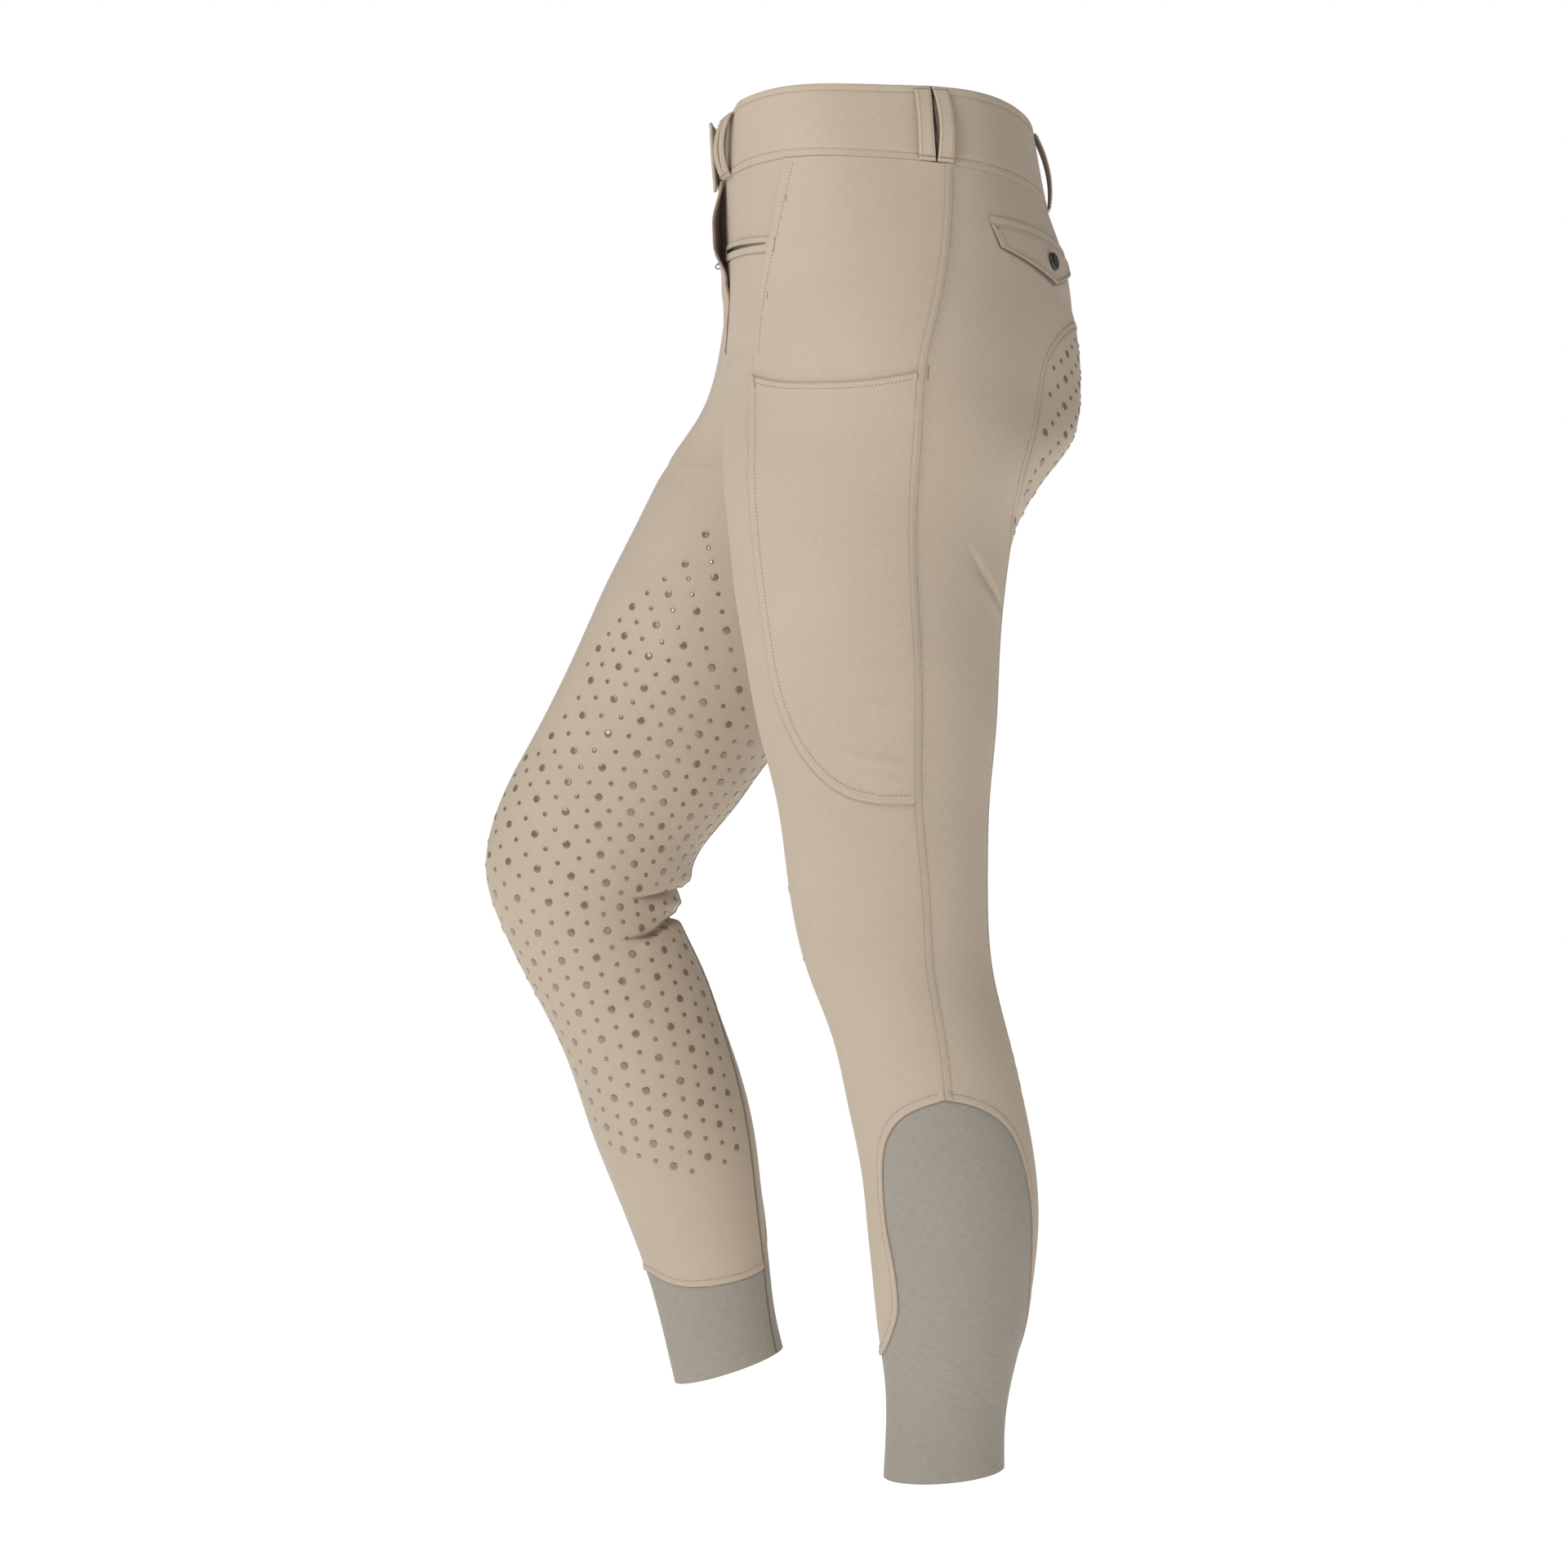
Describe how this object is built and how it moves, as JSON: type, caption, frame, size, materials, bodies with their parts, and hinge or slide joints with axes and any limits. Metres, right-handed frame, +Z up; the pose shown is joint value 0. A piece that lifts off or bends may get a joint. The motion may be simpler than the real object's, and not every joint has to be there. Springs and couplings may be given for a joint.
{
  "type": "riding breeches",
  "caption": "Full-seat riding breeches filled out as worn, one knee bent forward, with taupe calf panels, belt loops, slit and flap pockets and a thigh pocket.",
  "frame": {"origin": "middle of the waistband's top edge", "axes": "+Z up out of the waist, +X towards the wearer's left, -Y the way the wearer faces"},
  "size_m": [0.3522, 0.4239, 0.9346],
  "materials": {
    "sand_cloth": "matte",
    "taupe_elastic": "matte",
    "zip_tape": "matte",
    "dark_metal": "glossy"
  },
  "bodies": {
    "root": {"front_and_inner_leg_L": "sand_cloth", "front_and_inner_leg_R": "sand_cloth", "back_L": "sand_cloth", "back_R": "sand_cloth", "side_panel_L": "sand_cloth", "side_panel_R": "sand_cloth", "phone_pocket_L": "sand_cloth", "phone_pocket_R": "sand_cloth", "front_pocket_welt_L": "sand_cloth", "front_pocket_welt_R": "sand_cloth", "back_pocket_welt_L": "sand_cloth", "back_pocket_welt_R": "sand_cloth", "back_pocket_flap_L": "sand_cloth", "back_pocket_flap_R": "sand_cloth", "fly": "sand_cloth", "waistband": "sand_cloth", "belt_loop_front_L": "sand_cloth", "belt_loop_front_R": "sand_cloth", "belt_loop_side_L": "sand_cloth", "belt_loop_side_R": "sand_cloth", "belt_loop_back": "sand_cloth", "calf_panel_L": "taupe_elastic", "calf_panel_R": "taupe_elastic", "inner_cuff_L": "taupe_elastic", "inner_cuff_R": "taupe_elastic", "fly_zip_tape": "zip_tape", "snap_button_L": "dark_metal", "snap_button_R": "dark_metal"}
  },
  "joints": []
}
